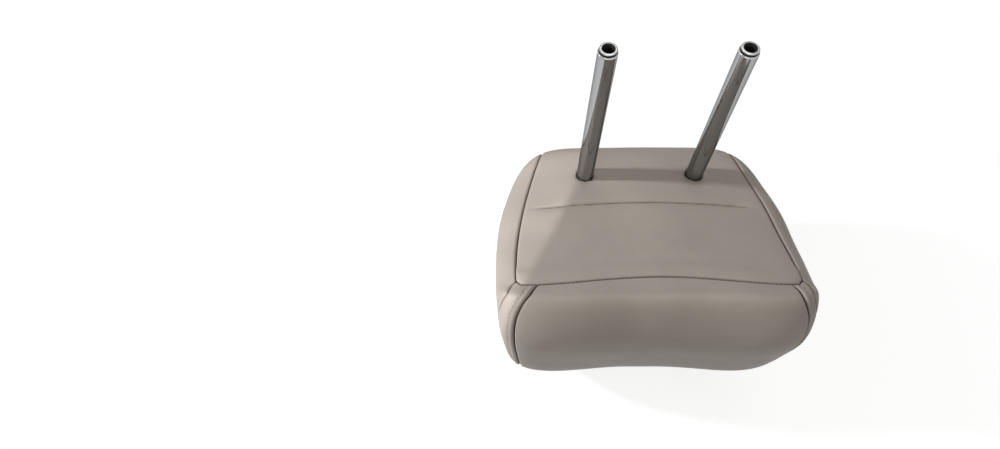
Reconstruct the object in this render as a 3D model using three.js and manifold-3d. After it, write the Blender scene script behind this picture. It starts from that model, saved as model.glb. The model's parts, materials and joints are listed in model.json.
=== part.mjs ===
// A leather car headrest, standing upside down on its crown with its two posts pointing up.
// Millimetres, +Z up along the posts, +X to the right seen from the face, +Y towards the back.
import * as THREE from "three";
import { mergeVertices } from "three/addons/utils/BufferGeometryUtils.js";
import Module from "manifold-3d";

const wasm = await Module();
wasm.setup();

// Driving dimensions

const postDiameter = 14;
const postSpacing = 92;
const postWall = 2;
const postTip = 297;
const postBend = 28;
const crossbarHeight = 74;
const boreDiameter = 8.4;
const boreDepth = 12;
const lipDiameter = 12.4;
const grooveDiameter = 10.4;
const grooveTop = 1.3;
const grooveWidth = 1.4;
const tubeSides = 16;
const bendSteps = 6;

const coverThickness = 3;
const seamGap = 0.5;
const seamTuck = 1.4;
const seamRoll = 3.2;
const fit = 0.3;
const foamRoom = 0.5;

const frontHalfWidth = 121;
const rearHalfWidth = 94;
const middleFullness = 2;
const faceReach = 79;
const backReach = 104;
const frontSeamHeight = 175;
const crownNarrowing = 20;
const squareness = 8;
const wingHeight = 7.3;
const seamArch = 9;

const coreUnderSkin = 22.5;
const coreUnderTube = 11;
const coreFrontDepth = 22;
const coreRearDepth = 15;
const coreWall = 2.5;
const coreCorner = 8;
const ribUnderTube = 5;
const ribBelowTop = 11;
const ribThickness = 2.5;
const sealBelowTop = 5;
const screwBesidePost = 5.5;
const coreBesideScrew = 7.5;
const screwInset = 8;
const bossDiameter = 9.5;
const screwDiameter = 4;
const screwHeadDiameter = 7;
const screwHeadHeight = 2.6;
const screwBlindEnd = 6;
const screwTipRoom = 2;

const closureHalfLength = 66;
const closureDrop = 1;
const closureWall = 1.6;
const hookDepth = 13;
const stripReachFront = 9;
const stripReachRear = 10;
const channelRoom = 1;

// The outline of the cushion seen from the side, in the middle of its width.
// It starts at the seam low on the back and goes over the back, the underside and the face.
const at = (y, z) => new THREE.Vector3(0, y, z);
const crownSeam = at(backReach - 21, 22);
const lowerBack = at(backReach - 6, 60);
const middleBack = at(backReach, 100);
const upperBack = at(backReach - 2, frontSeamHeight - 50);
const rearEdge = at(backReach - 10, frontSeamHeight - 29);
const postLine = at(63, frontSeamHeight - 24.5);
const closureLine = at(30, frontSeamHeight - 19);
const middleUnderside = at(0, frontSeamHeight - 15.5);
const frontUnderside = at(-28, frontSeamHeight - 7);
const frontSeam = at(29.5 - faceReach, frontSeamHeight);
const faceShoulder = at(17 - faceReach, frontSeamHeight + 4);
const upperFace = at(-1 - faceReach, frontSeamHeight - 26);
const middleFace = at(-faceReach, 108);
const lowerFace = at(3 - faceReach, 66);
const crownRoll = at(-48, 22);
const crownFront = at(-12, -2);
const crownBack = at(40, -2);
const outlinePoints = [
  crownSeam, lowerBack, middleBack, upperBack, rearEdge, postLine, closureLine, middleUnderside,
  frontUnderside, frontSeam, faceShoulder, upperFace, middleFace, lowerFace, crownRoll,
  crownFront, crownBack,
];
const outline = new THREE.CatmullRomCurve3(outlinePoints, true, "centripetal");
const outlineCount = outlinePoints.length;
const stationOf = (point) => outlinePoints.indexOf(point);
const closureStation = stationOf(closureLine);
const frontStation = stationOf(frontSeam);
const crownStation = outlineCount;
const heart = at(0, 90);

const skinAngle = (share) => {
  const rise = Math.pow(1 - Math.pow(share, squareness), 1 / squareness);
  return Math.atan2(share, rise);
};
const cornerAngle = skinAngle(0.72);
const gussetSeamAngle = THREE.MathUtils.degToRad(54);

// The core grips the tube, so its floor follows the crossbar and its width follows the posts
const tubeUnderside = crossbarHeight - postDiameter / 2;
const coreBottom = tubeUnderside - coreUnderTube;
const coreTop = postLine.z - coreUnderSkin;
const screwAcross = postSpacing / 2 + postDiameter / 2 + screwBesidePost;
const coreHalfWidth = screwAcross + coreBesideScrew;

// Colours and finishes read off the photo

const leather = () => new THREE.MeshStandardMaterial({ color: 0xb5aba0, roughness: 0.55, metalness: 0 });
const chrome = () => new THREE.MeshStandardMaterial({ color: 0xc9c9c6, roughness: 0.12, metalness: 1 });
const foam = () => new THREE.MeshStandardMaterial({ color: 0xd9cfa8, roughness: 0.95, metalness: 0 });
const blackPlastic = () => new THREE.MeshStandardMaterial({ color: 0x26262a, roughness: 0.6, metalness: 0 });
const whitePlastic = () => new THREE.MeshStandardMaterial({ color: 0xd8d8d4, roughness: 0.5, metalness: 0 });
const zincSteel = () => new THREE.MeshStandardMaterial({ color: 0xa9abb0, roughness: 0.35, metalness: 1 });

const headrest = new THREE.Group();
headrest.name = "headrest";

function add(name, geometry, material) {
  const mesh = new THREE.Mesh(geometry, material);
  mesh.name = name;
  headrest.add(mesh);
  return mesh;
}

// Joining and cutting

function toSolid(geometry) {
  const bare = new THREE.BufferGeometry();
  const source = geometry.index ? geometry.toNonIndexed() : geometry;
  bare.setAttribute("position", source.getAttribute("position").clone());
  const merged = mergeVertices(bare, 1e-4);
  return new wasm.Manifold(new wasm.Mesh({
    numProp: 3,
    vertProperties: new Float32Array(merged.attributes.position.array),
    triVerts: new Uint32Array(merged.index.array),
  }));
}

function toGeometry(solid) {
  const mesh = solid.getMesh();
  const geometry = new THREE.BufferGeometry();
  geometry.setAttribute("position", new THREE.BufferAttribute(mesh.vertProperties, 3));
  geometry.setIndex(new THREE.BufferAttribute(mesh.triVerts, 1));
  return geometry;
}

function cut(solid, ...tools) {
  return tools.reduce((left, tool) => left.subtract(tool), solid);
}

function join(...solids) {
  return solids.reduce((whole, next) => whole.add(next));
}

function block(x0, x1, y0, y1, z0, z1) {
  const geometry = new THREE.BoxGeometry(x1 - x0, y1 - y0, z1 - z0);
  geometry.translate((x0 + x1) / 2, (y0 + y1) / 2, (z0 + z1) / 2);
  return toSolid(geometry);
}

function rod(radius, length, sides = 16) {
  // A cylinder along +Z that starts at the origin.
  const geometry = new THREE.CylinderGeometry(radius, radius, length, sides);
  geometry.rotateX(Math.PI / 2);
  geometry.translate(0, 0, length / 2);
  return geometry;
}

function pin(x, y0, y1, z, radius) {
  // A cylinder along +Y from y0 to y1.
  const geometry = rod(radius, y1 - y0, 12);
  geometry.rotateX(-Math.PI / 2);
  geometry.translate(x, y0, z);
  return geometry;
}

// The skin of the cushion
//
// A station runs along the side outline and an angle runs from the middle, 0, to the side, 90 degrees.
// Every panel, and the foam under them, is a patch of this one surface at its own depth.

function halfWidth(y, z) {
  const towardsRear = THREE.MathUtils.clamp((y + 60) / 155, 0, 1.05);
  const towardsCrown = Math.max(0, 1 - z / 160);
  const taper = (frontHalfWidth - rearHalfWidth) * towardsRear ** 3.2;
  const fullness = middleFullness * Math.sin(Math.PI * Math.min(1, towardsRear)) ** 2;
  return frontHalfWidth - taper + fullness - crownNarrowing * towardsCrown ** 1.6;
}

function wingAt(station, share) {
  const along = THREE.MathUtils.clamp((station - frontStation) / 5.5, 0, 1);
  const outward = THREE.MathUtils.smoothstep(share, 0.1, 0.8);
  return wingHeight * Math.sin(Math.PI * along) ** 2 * outward;
}

// The front seam arches back a little in the middle, and the skin beside it follows.
function archAt(station, share) {
  const away = (station - frontStation) / 1.5;
  return (seamArch / 22.8) * Math.exp(-away * away) * Math.max(0, 1 - (share / 0.85) ** 2) ** 2;
}

function onSkin(station, angle) {
  const side = Math.sign(angle);
  const lean = Math.abs(angle);
  const reach = Math.pow(Math.sin(lean) ** squareness + Math.cos(lean) ** squareness, -1 / squareness);
  const share = Math.sin(lean) * reach;
  const turn = (station - archAt(station, share) + outlineCount) % outlineCount;
  const p = outline.getPoint(turn / outlineCount);
  const height = Math.max(0, Math.cos(lean)) * reach;
  const spoke = p.clone().sub(heart);
  const length = spoke.length();
  spoke.multiplyScalar(height * (length + wingAt(turn, share)) / length);
  const y = heart.y + spoke.y;
  const z = heart.z + spoke.z;
  return new THREE.Vector3(side * share * halfWidth(y, z), y, z);
}

function skinNormal(station, angle) {
  if (Math.abs(angle) > Math.PI / 2 - 1e-3) return new THREE.Vector3(Math.sign(angle), 0, 0);
  const h = 1e-3;
  const along = onSkin(station + h, angle).sub(onSkin(station - h, angle));
  const across = onSkin(station, angle + h).sub(onSkin(station, angle - h));
  return along.cross(across).normalize();
}

function skin(station, angle, depth) {
  const p = onSkin(station, angle).addScaledVector(skinNormal(station, angle), -depth);
  // The soft crown is pressed flat where it carries the headrest.
  p.z = Math.max(p.z, depth);
  return p;
}

function stationStep(station, distance) {
  const h = 1e-3;
  const speed = onSkin(station + h, 0).distanceTo(onSkin(station - h, 0)) / (2 * h);
  return distance / speed;
}

function gapBetween(from, to) {
  return onSkin(from, 0).distanceTo(onSkin(to, 0));
}

function angleStep(station, angle, distance) {
  const h = 1e-3;
  const speed = onSkin(station, angle + h).distanceTo(onSkin(station, angle - h)) / (2 * h);
  return distance / speed;
}

// Where the seams run

// Towards the crown the gusset closes again.
const closing = (station) => THREE.MathUtils.smoothstep(station, crownStation - 1.4, crownStation);

// The seam beside the face leaves the front corner in a wide curve.
function innerSeam(station) {
  const past = Math.max(0, station - frontStation);
  const opened = skinAngle(0.884 - 0.166 * Math.exp(-past / 0.85));
  return THREE.MathUtils.lerp(opened, cornerAngle, closing(station));
}

// The seam round each side comes inwards a little where it passes the posts.
function outerSeam(station) {
  const away = (station - 5.4) / 1.9;
  const underSeam = skinAngle(0.875 - 0.048 * Math.exp(-away * away));
  const opening = THREE.MathUtils.smoothstep(station, frontStation + 0.4, frontStation + 2.2);
  return THREE.MathUtils.lerp(underSeam, gussetSeamAngle, opening * (1 - closing(station)));
}

function rowsBetween(first, last, count, crowding) {
  // Stations of one panel: its two edges, a row where each edge has rolled up, and even rows between.
  const start = first + stationStep(first, seamGap / 2);
  const end = last - stationStep(last, seamGap / 2);
  const a = start + stationStep(start, seamRoll);
  const b = end - stationStep(end, seamRoll);
  const rows = [start, a];
  for (let i = 1; i < count; i++) {
    // Rows lie closer together towards both ends, where the panels curve most.
    const even = i / count;
    const crowded = even - (crowding * Math.sin(2 * Math.PI * even)) / (2 * Math.PI);
    rows.push(THREE.MathUtils.lerp(a, b, crowded));
  }
  rows.push(b, end);
  return rows;
}

const backRows = rowsBetween(0, closureStation, 9, 0);
const undersideRows = rowsBetween(closureStation, frontStation, 5, 0);
const faceRows = rowsBetween(frontStation, crownStation, 15, 0.5);

const shareOut = (from, to, shares) => shares.map((share) => THREE.MathUtils.lerp(from, to, share));
const before = (station, angle, distance) => angle - angleStep(station, angle, distance);
const after = (station, angle, distance) => angle + angleStep(station, angle, distance);

// Angles from beside the middle to where the face panel starts to roll into its seam
function middleColumns(station) {
  return shareOut(0, before(station, innerSeam(station), seamGap / 2 + seamRoll), [0.2, 0.42, 0.64, 0.84, 1]);
}

// Angles across the gusset, or across the same strip of the underside and the back
function gussetColumns(station) {
  const start = after(station, innerSeam(station), seamGap / 2);
  const end = before(station, outerSeam(station), seamGap / 2);
  return shareOut(start, end, [0, 0.16, 0.36, 0.84, 1]);
}

function sideColumns(station) {
  const start = after(station, outerSeam(station), seamGap / 2);
  const roll = after(station, start, seamRoll);
  return [start, ...shareOut(roll, Math.PI / 2, [0, 0.25, 0.5, 0.75, 1])];
}

const belt = (half) => [...half.map((angle) => -angle).reverse(), 0, ...half];
const faceColumns = (station) => {
  return belt([...middleColumns(station), before(station, innerSeam(station), seamGap / 2)]);
};
const wideColumns = (station) => {
  return belt([...middleColumns(station), innerSeam(station), ...gussetColumns(station).slice(1)]);
};

// Turning grids of points into closed solids

function facesOf(points, quads) {
  const positions = [];
  const push = (a, b, c) => {
    const area = b.clone().sub(a).cross(c.clone().sub(a)).length();
    if (area > 1e-9) positions.push(...a.toArray(), ...b.toArray(), ...c.toArray());
  };
  for (const [a, b, c, d] of quads) {
    push(points[a], points[b], points[c]);
    push(points[a], points[c], points[d]);
  }
  return positions;
}

function closedGeometry(points, quads) {
  const positions = facesOf(points, quads);
  let volume = 0;
  for (let i = 0; i < positions.length; i += 9) {
    const [a, b, c] = [0, 3, 6].map((k) => new THREE.Vector3().fromArray(positions, i + k));
    volume += a.dot(b.cross(c));
  }
  if (volume < 0) {
    for (let i = 0; i < positions.length; i += 9) {
      const second = positions.slice(i + 3, i + 6);
      const third = positions.slice(i + 6, i + 9);
      positions.splice(i + 3, 6, ...third, ...second);
    }
  }
  const geometry = new THREE.BufferGeometry();
  geometry.setAttribute("position", new THREE.Float32BufferAttribute(positions, 3));
  geometry.computeVertexNormals();
  return geometry;
}

function patch(corners, onLeft) {
  // One four-sided patch. Left of the middle it is split along its other diagonal, as a mirror image.
  const [a, b, c, d] = corners;
  return onLeft ? [b, c, d, a] : corners;
}

function shellBetween(outer, inner, { ring = false, middle = 0 } = {}) {
  // Two grids of the same size, one over the other, joined all round their edges.
  const rows = outer.length;
  const columns = outer[0].length;
  const points = [...outer.flat(), ...inner.flat()];
  const top = (r, c) => (r % rows) * columns + c;
  const under = (r, c) => rows * columns + top(r, c);
  const quads = [];
  const lastRow = ring ? rows : rows - 1;
  for (let r = 0; r < lastRow; r++) {
    for (let c = 0; c + 1 < columns; c++) {
      const left = c < middle;
      quads.push(patch([top(r, c), top(r, c + 1), top(r + 1, c + 1), top(r + 1, c)], left));
      quads.push(patch([under(r, c), under(r + 1, c), under(r + 1, c + 1), under(r, c + 1)], left));
    }
    quads.push([top(r, 0), top(r + 1, 0), under(r + 1, 0), under(r, 0)]);
    const e = columns - 1;
    quads.push([top(r, e), under(r, e), under(r + 1, e), top(r + 1, e)]);
  }
  if (!ring) {
    const e = rows - 1;
    for (let c = 0; c + 1 < columns; c++) {
      quads.push([top(0, c), under(0, c), under(0, c + 1), top(0, c + 1)]);
      quads.push([top(e, c), top(e, c + 1), under(e, c + 1), under(e, c)]);
    }
  }
  return closedGeometry(points, quads);
}

function ringGrid(grid, { closedAcross = false, middle = 0 } = {}) {
  // A grid whose rows close into a ring, and whose columns either close too or end in points.
  const rows = grid.length;
  const columns = grid[0].length;
  const index = (r, c) => (r % rows) * columns + (c % columns);
  const quads = [];
  const lastColumn = closedAcross ? columns : columns - 1;
  for (let r = 0; r < rows; r++) {
    for (let c = 0; c < lastColumn; c++) {
      const corners = [index(r, c), index(r, c + 1), index(r + 1, c + 1), index(r + 1, c)];
      quads.push(patch(corners, c < middle));
    }
  }
  return closedGeometry(grid.flat(), quads);
}

// The sewn cover

function panel(rows, columnsAt, depthAt, options) {
  const outer = rows.map((station, r) => columnsAt(station).map((angle, c, all) => {
    return skin(station, angle, depthAt(r, c, rows.length - 1, all.length - 1));
  }));
  const inner = rows.map((station) => columnsAt(station).map((angle) => {
    return skin(station, angle, coverThickness);
  }));
  return shellBetween(outer, inner, options);
}

// Both long edges and both ends of a belt panel are drawn in by its seams.
function beltDepth(r, c, lastRow, lastColumn) {
  const onEdge = r === 0 || c === 0 || r === lastRow || c === lastColumn;
  return onEdge ? seamTuck : 0;
}

// The gusset's inner edge is a rolled bead that stands proud beside the deep seam of the face.
function gussetDepth(r, c, lastRow, lastColumn) {
  if (c === 0) return seamTuck + 0.8;
  if (r === 0 || r === lastRow || c === lastColumn) return seamTuck;
  if (c === 1) return -0.7;
  if (c === 2) return 0.5;
  return 0;
}

const sideDepth = (r, c) => (c === 0 ? seamTuck : 0);

const middleOf = (columnsAt) => ({ middle: (columnsAt(0).length - 1) / 2 });
const facePanel = panel(faceRows, faceColumns, beltDepth, middleOf(faceColumns));
const undersidePanel = panel(undersideRows, wideColumns, beltDepth, middleOf(wideColumns));
const backPanel = panel(backRows, wideColumns, beltDepth, middleOf(wideColumns));
// The sides and the foam leave out the rows that only shape the rolled edges of the belt panels.
const allRows = [...backRows, ...undersideRows, ...faceRows];
const sparseRows = allRows.filter((station, i) => i === 0 || gapBetween(allRows[i - 1], station) > seamRoll + 0.5);

const postCentres = [-postSpacing / 2, postSpacing / 2];
const postY = postLine.y;

function postHoles(radius, from, to) {
  return postCentres.map((x) => toSolid(rod(radius, to - from).translate(x, postY, from)));
}

const holeRadius = postDiameter / 2 + fit;
const piercedBack = cut(toSolid(backPanel), ...postHoles(holeRadius, coreTop, postTip));

add("cover_face", facePanel, leather());
add("cover_underside", undersidePanel, leather());
add("cover_back", toGeometry(piercedBack), leather());

for (const [side, word] of [[-1, "left"], [1, "right"]]) {
  const mirrored = (columnsAt) => (station) => columnsAt(station).map((angle) => side * angle);
  add("cover_gusset_" + word, panel(faceRows, mirrored(gussetColumns), gussetDepth), leather());
  add("cover_side_" + word, panel(sparseRows, mirrored(sideColumns), sideDepth, { ring: true }), leather());
}

// The hollow post tube, bent into one U, with a necked and lipped end on each post

function tubeRing(centre, outward, radius) {
  // One ring of points round the tube. Outward lies in the plane of the U, away from its inside.
  const ring = [];
  for (let i = 0; i < tubeSides; i++) {
    const turn = (i / tubeSides) * 2 * Math.PI;
    const p = centre.clone().addScaledVector(outward, radius * Math.cos(turn));
    ring.push(p.setY(p.y + radius * Math.sin(turn)));
  }
  return ring;
}

function tubeSurface(endStops, radius) {
  // Rings from the left tip, round the U, to the right tip. Each end stop is a drop below the tip and a radius.
  const half = postSpacing / 2;
  const leftwards = new THREE.Vector3(-1, 0, 0);
  const rightwards = new THREE.Vector3(1, 0, 0);
  const onPost = (x, drop) => new THREE.Vector3(x, postY, postTip - drop);
  const rings = endStops.map(([drop, r]) => tubeRing(onPost(-half, drop), leftwards, r));
  for (const side of [-1, 1]) {
    const centre = new THREE.Vector3(side * (half - postBend), postY, crossbarHeight + postBend);
    const firstTurn = side < 0 ? Math.PI : 1.5 * Math.PI;
    for (let i = 0; i <= bendSteps; i++) {
      const turn = firstTurn + (i / bendSteps) * (Math.PI / 2);
      const outward = new THREE.Vector3(Math.cos(turn), 0, Math.sin(turn));
      rings.push(tubeRing(centre.clone().addScaledVector(outward, postBend), outward, radius));
    }
  }
  const rightEnd = endStops.map(([drop, r]) => tubeRing(onPost(half, drop), rightwards, r));
  return [...rings, ...rightEnd.reverse()];
}

const shoulderDrop = grooveTop + grooveWidth;
const outerStops = [
  [0, lipDiameter / 2 - 0.6],
  [0.25, lipDiameter / 2 - 0.2],
  [0.65, lipDiameter / 2],
  [1.05, lipDiameter / 2 - 0.2],
  [grooveTop, grooveDiameter / 2],
  [shoulderDrop, grooveDiameter / 2],
  [shoulderDrop + 0.1, postDiameter / 2 - 0.7],
  [shoulderDrop + 0.8, postDiameter / 2],
];
const innerStops = [
  [0, boreDiameter / 2],
  [boreDepth, boreDiameter / 2],
  [boreDepth + 1.5, postDiameter / 2 - postWall],
];
const tubeOutside = tubeSurface(outerStops, postDiameter / 2);
const tubeInside = tubeSurface(innerStops, postDiameter / 2 - postWall).reverse();
const tubeGeometry = ringGrid([...tubeOutside, ...tubeInside], { closedAcross: true });
add("post_tube", tubeGeometry, chrome());

// A solid stand-in for the tube with clearance all round, used to cut its seat in the core.
function tubeClearance() {
  const stops = [[0, holeRadius]];
  const rings = tubeSurface(stops, holeRadius);
  const rows = rings.length;
  const points = [...rings.flat(), rings[0].reduce(sumOf, at(0, 0)).divideScalar(tubeSides)];
  points.push(rings[rows - 1].reduce(sumOf, at(0, 0)).divideScalar(tubeSides));
  const quads = [];
  for (let i = 0; i < tubeSides; i++) {
    const j = (i + 1) % tubeSides;
    for (let r = 0; r + 1 < rows; r++) {
      quads.push([r * tubeSides + i, r * tubeSides + j, (r + 1) * tubeSides + j, (r + 1) * tubeSides + i]);
    }
    const end = (rows - 1) * tubeSides;
    quads.push([rows * tubeSides, j, i, i]);
    quads.push([rows * tubeSides + 1, end + i, end + j, end + j]);
  }
  return toSolid(closedGeometry(points, quads));
}

function sumOf(total, p) {
  return total.add(p);
}

// The plastic core, two halves screwed together round the tube

function coreOutline(inset) {
  const x = coreHalfWidth - inset;
  const z0 = coreBottom + inset;
  const z1 = coreTop - inset;
  const r = coreCorner - inset;
  const shape = new THREE.Shape();
  shape.moveTo(-x + r, z0);
  shape.lineTo(x - r, z0);
  shape.absarc(x - r, z0 + r, r, -Math.PI / 2, 0, false);
  shape.lineTo(x, z1 - r);
  shape.absarc(x - r, z1 - r, r, 0, Math.PI / 2, false);
  shape.lineTo(-x + r, z1);
  shape.absarc(-x + r, z1 - r, r, Math.PI / 2, Math.PI, false);
  shape.lineTo(-x, z0 + r);
  shape.absarc(-x + r, z0 + r, r, Math.PI, 1.5 * Math.PI, false);
  return shape;
}

function coreSlab(inset, y0, y1) {
  // The outline drawn in X and Z, given thickness from y0 to y1.
  const options = { depth: y1 - y0, bevelEnabled: false, curveSegments: 4 };
  const geometry = new THREE.ExtrudeGeometry(coreOutline(inset), options);
  geometry.rotateX(Math.PI / 2);
  geometry.translate(0, y1, 0);
  return toSolid(geometry);
}

const screwHeights = [coreBottom + screwInset, coreTop - screwInset];
const screwPlaces = [-screwAcross, screwAcross].flatMap((x) => screwHeights.map((z) => [x, z]));
const parting = fit / 2;
const coreFront = postY - coreFrontDepth;
const coreRear = postY + coreRearDepth;
const ribHeights = [tubeUnderside - ribUnderTube, crossbarHeight + postBend, coreTop - ribBelowTop];

function ribs(y0, y1) {
  const x = coreHalfWidth - coreWall / 2;
  return ribHeights.map((z) => block(-x, x, y0, y1, z - ribThickness / 2, z + ribThickness / 2));
}

const bosses = (y0, y1) => screwPlaces.map(([x, z]) => toSolid(pin(x, y0, y1, z, bossDiameter / 2)));
const screwTunnels = (y0, y1, radius) => screwPlaces.map(([x, z]) => toSolid(pin(x, y0, y1, z, radius)));
const tubeSeat = tubeClearance();

const frontTray = cut(
  coreSlab(0, coreFront, postY - parting),
  coreSlab(coreWall, coreFront + coreWall, postY),
);
const frontEdge = postY - parting;
const frontHalf = cut(
  join(frontTray, ...ribs(coreFront + 1, frontEdge), ...bosses(coreFront + 1, frontEdge)),
  tubeSeat,
  ...screwTunnels(coreFront + screwBlindEnd, postY + 1, screwDiameter / 2 + fit),
);

const rearEdgeOfTray = postY + parting;
const rearTray = cut(
  coreSlab(0, rearEdgeOfTray, coreRear),
  coreSlab(coreWall, postY, coreRear - coreWall),
);
const headSeat = coreRear - screwHeadHeight - 1;
const rearHalf = cut(
  join(rearTray, ...ribs(rearEdgeOfTray, coreRear - 1), ...bosses(rearEdgeOfTray, coreRear - 1)),
  tubeSeat,
  ...screwTunnels(postY - 1, coreRear + 1, screwDiameter / 2 + fit),
  ...screwTunnels(headSeat, coreRear + 1, screwHeadDiameter / 2 + fit),
);
add("core_half_front", toGeometry(frontHalf), blackPlastic());
add("core_half_rear", toGeometry(rearHalf), blackPlastic());

// Pan-headed screws with a cross recess, driven from the back
function screw(x, z) {
  const seat = headSeat + fit;
  const shaft = toSolid(pin(x, coreFront + screwBlindEnd + screwTipRoom, seat + 0.5, z, screwDiameter / 2));
  const head = toSolid(pin(x, seat, seat + screwHeadHeight, z, screwHeadDiameter / 2));
  const slotEnd = seat + screwHeadHeight;
  const across = block(x - 2, x + 2, slotEnd - 1.4, slotEnd + 1, z - 0.5, z + 0.5);
  const upright = block(x - 0.5, x + 0.5, slotEnd - 1.4, slotEnd + 1, z - 2, z + 2);
  return cut(join(shaft, head), across, upright);
}

screwPlaces.forEach(([x, z]) => {
  const side = x < 0 ? "left" : "right";
  const level = z > crossbarHeight ? "upper" : "lower";
  add("core_screw_" + level + "_" + side, toGeometry(screw(x, z)), zincSteel());
});

// Flanged collars that guide the posts between the core and the leather

const collarUnderSkin = 7.1;
const collarTop = postLine.z - collarUnderSkin;
const collarWall = 1.8;
const collarFlange = 11;

function collar(x, spare) {
  const inner = spare > 0 ? 0 : holeRadius;
  const outer = postDiameter / 2 + fit + collarWall + spare;
  const flange = collarFlange + spare;
  const base = coreTop + fit - spare;
  const top = collarTop + spare;
  const profile = [
    [inner, base], [outer, base], [outer, top - 2 - 2 * spare], [flange, top - 2 - 2 * spare],
    [flange, top], [inner, top],
  ].map(([r, z]) => new THREE.Vector2(r, z));
  if (inner > 0) profile.push(profile[0].clone());
  const geometry = new THREE.LatheGeometry(profile, 16);
  geometry.rotateX(Math.PI / 2);
  geometry.translate(x, postY, 0);
  return geometry;
}

add("post_collar_left", collar(postCentres[0], 0), blackPlastic());
add("post_collar_right", collar(postCentres[1], 0), blackPlastic());

// The closure under the closing line: two plastic strips sewn to the cover edges and hooked together

function strip(points) {
  const shape = new THREE.Shape(points.map(([y, z]) => new THREE.Vector2(y, z)));
  const geometry = new THREE.ExtrudeGeometry(shape, { depth: 2 * closureHalfLength, bevelEnabled: false });
  // The shape's axes become Y and Z, and its depth becomes X.
  geometry.applyMatrix4(new THREE.Matrix4().set(0, 0, 1, -closureHalfLength, 1, 0, 0, 0, 0, 1, 0, 0, 0, 0, 0, 1));
  return geometry;
}

const lineY = closureLine.y;
const underCover = closureLine.z - coverThickness - closureDrop;
const hookFloor = underCover - hookDepth;
const w = closureWall;
add("closure_strip_front", strip([
  [lineY - stripReachFront, underCover], [lineY - stripReachFront, underCover - w], [lineY - 1 - w, underCover - w],
  [lineY - 1 - w, hookFloor], [lineY + 5, hookFloor], [lineY + 5, hookFloor + 6], [lineY + 5 - w, hookFloor + 6],
  [lineY + 5 - w, hookFloor + w], [lineY - 1, hookFloor + w], [lineY - 1, underCover],
]), whitePlastic());
add("closure_strip_rear", strip([
  [lineY + stripReachRear, underCover - 2], [lineY + 0.6, underCover - 2], [lineY + 0.6, hookFloor + w + 0.8],
  [lineY + 0.6 + w, hookFloor + w + 0.8], [lineY + 0.6 + w, underCover - 2 - w],
  [lineY + stripReachRear, underCover - 2 - w],
]), whitePlastic());

// The foam body, one moulding that fills the cover and leaves room for everything inside it

function wholeColumns(station) {
  const strip = gussetColumns(station).slice(1, -1);
  const side = sideColumns(station).slice(1);
  return belt([...middleColumns(station), innerSeam(station), ...strip, outerSeam(station), ...side]);
}

const foamDepth = coverThickness + foamRoom;
const foamGrid = sparseRows.map((station) => wholeColumns(station).map((angle) => skin(station, angle, foamDepth)));
const channelHalfLength = closureHalfLength + channelRoom;
const channelFront = lineY - stripReachFront - channelRoom;
const channelRear = lineY + stripReachRear + channelRoom;
const channel = block(
  -channelHalfLength, channelHalfLength, channelFront, channelRear, hookFloor - channelRoom / 2, postTip,
);
const foamSolid = cut(
  toSolid(ringGrid(foamGrid, middleOf(wholeColumns))),
  coreSlab(-fit, coreFront - fit, coreRear + fit),
  ...postHoles(holeRadius, coreTop - sealBelowTop, postTip),
  ...postCentres.map((x) => toSolid(collar(x, fit))),
  channel,
);
add("foam_body", toGeometry(foamSolid), foam());

export default headrest;
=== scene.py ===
# %% [markdown]
# # A leather car headrest, stood upside down on its crown
#
# A headrest is a moulded foam body in a sewn leather cover. A tube, bent into a U, is gripped by
# a plastic core inside the foam, and its two ends stand out as the posts that go into the seat.
#
# The CAD frame already holds every piece at its real size. This lesson keeps the hidden pieces,
# and makes the ones that show again, with soft edges, seams, stitches and finishes.

import json
import math

import bpy
import numpy as np
from mathutils import Matrix, Vector
from mathutils.kdtree import KDTree

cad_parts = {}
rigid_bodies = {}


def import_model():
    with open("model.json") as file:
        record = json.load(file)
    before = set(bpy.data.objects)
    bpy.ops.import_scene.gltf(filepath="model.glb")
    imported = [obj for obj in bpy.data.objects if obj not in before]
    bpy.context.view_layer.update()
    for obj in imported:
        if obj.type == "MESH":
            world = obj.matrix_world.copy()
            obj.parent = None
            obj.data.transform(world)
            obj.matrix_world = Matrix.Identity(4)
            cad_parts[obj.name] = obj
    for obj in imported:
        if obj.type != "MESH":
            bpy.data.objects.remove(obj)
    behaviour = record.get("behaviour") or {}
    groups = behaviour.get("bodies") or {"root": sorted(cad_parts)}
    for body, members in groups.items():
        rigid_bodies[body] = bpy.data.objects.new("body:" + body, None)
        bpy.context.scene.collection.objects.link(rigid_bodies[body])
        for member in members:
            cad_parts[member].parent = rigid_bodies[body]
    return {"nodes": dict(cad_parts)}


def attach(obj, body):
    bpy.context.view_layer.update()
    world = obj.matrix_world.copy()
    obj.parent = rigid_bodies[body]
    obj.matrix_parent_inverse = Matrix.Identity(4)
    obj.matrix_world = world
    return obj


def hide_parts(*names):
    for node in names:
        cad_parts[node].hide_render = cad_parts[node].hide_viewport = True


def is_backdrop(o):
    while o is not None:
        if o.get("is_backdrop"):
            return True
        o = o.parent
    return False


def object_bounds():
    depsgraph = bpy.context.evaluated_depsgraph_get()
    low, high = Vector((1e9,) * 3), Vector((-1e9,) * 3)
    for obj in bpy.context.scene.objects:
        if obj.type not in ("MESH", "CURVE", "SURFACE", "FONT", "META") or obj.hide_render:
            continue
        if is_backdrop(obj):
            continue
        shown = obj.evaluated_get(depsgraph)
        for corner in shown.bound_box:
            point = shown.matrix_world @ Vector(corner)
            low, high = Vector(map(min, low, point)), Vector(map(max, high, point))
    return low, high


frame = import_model()
cad_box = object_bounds()
MM = 0.001
print("CAD nodes:", len(frame["nodes"]))

# %% [markdown]
# ## The camera
#
# The photo was taken from above and in front of the headrest, with a fairly wide lens. Its place
# was worked out from the two parallel posts and the seams, which nearly mirror each other. It
# could be set by eye, but from a fitted place every seam can be compared with the photo's.
# A camera in Blender looks along its own -Z, so the three columns of its rotation are the
# directions to its right, up, and backwards.

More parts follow.
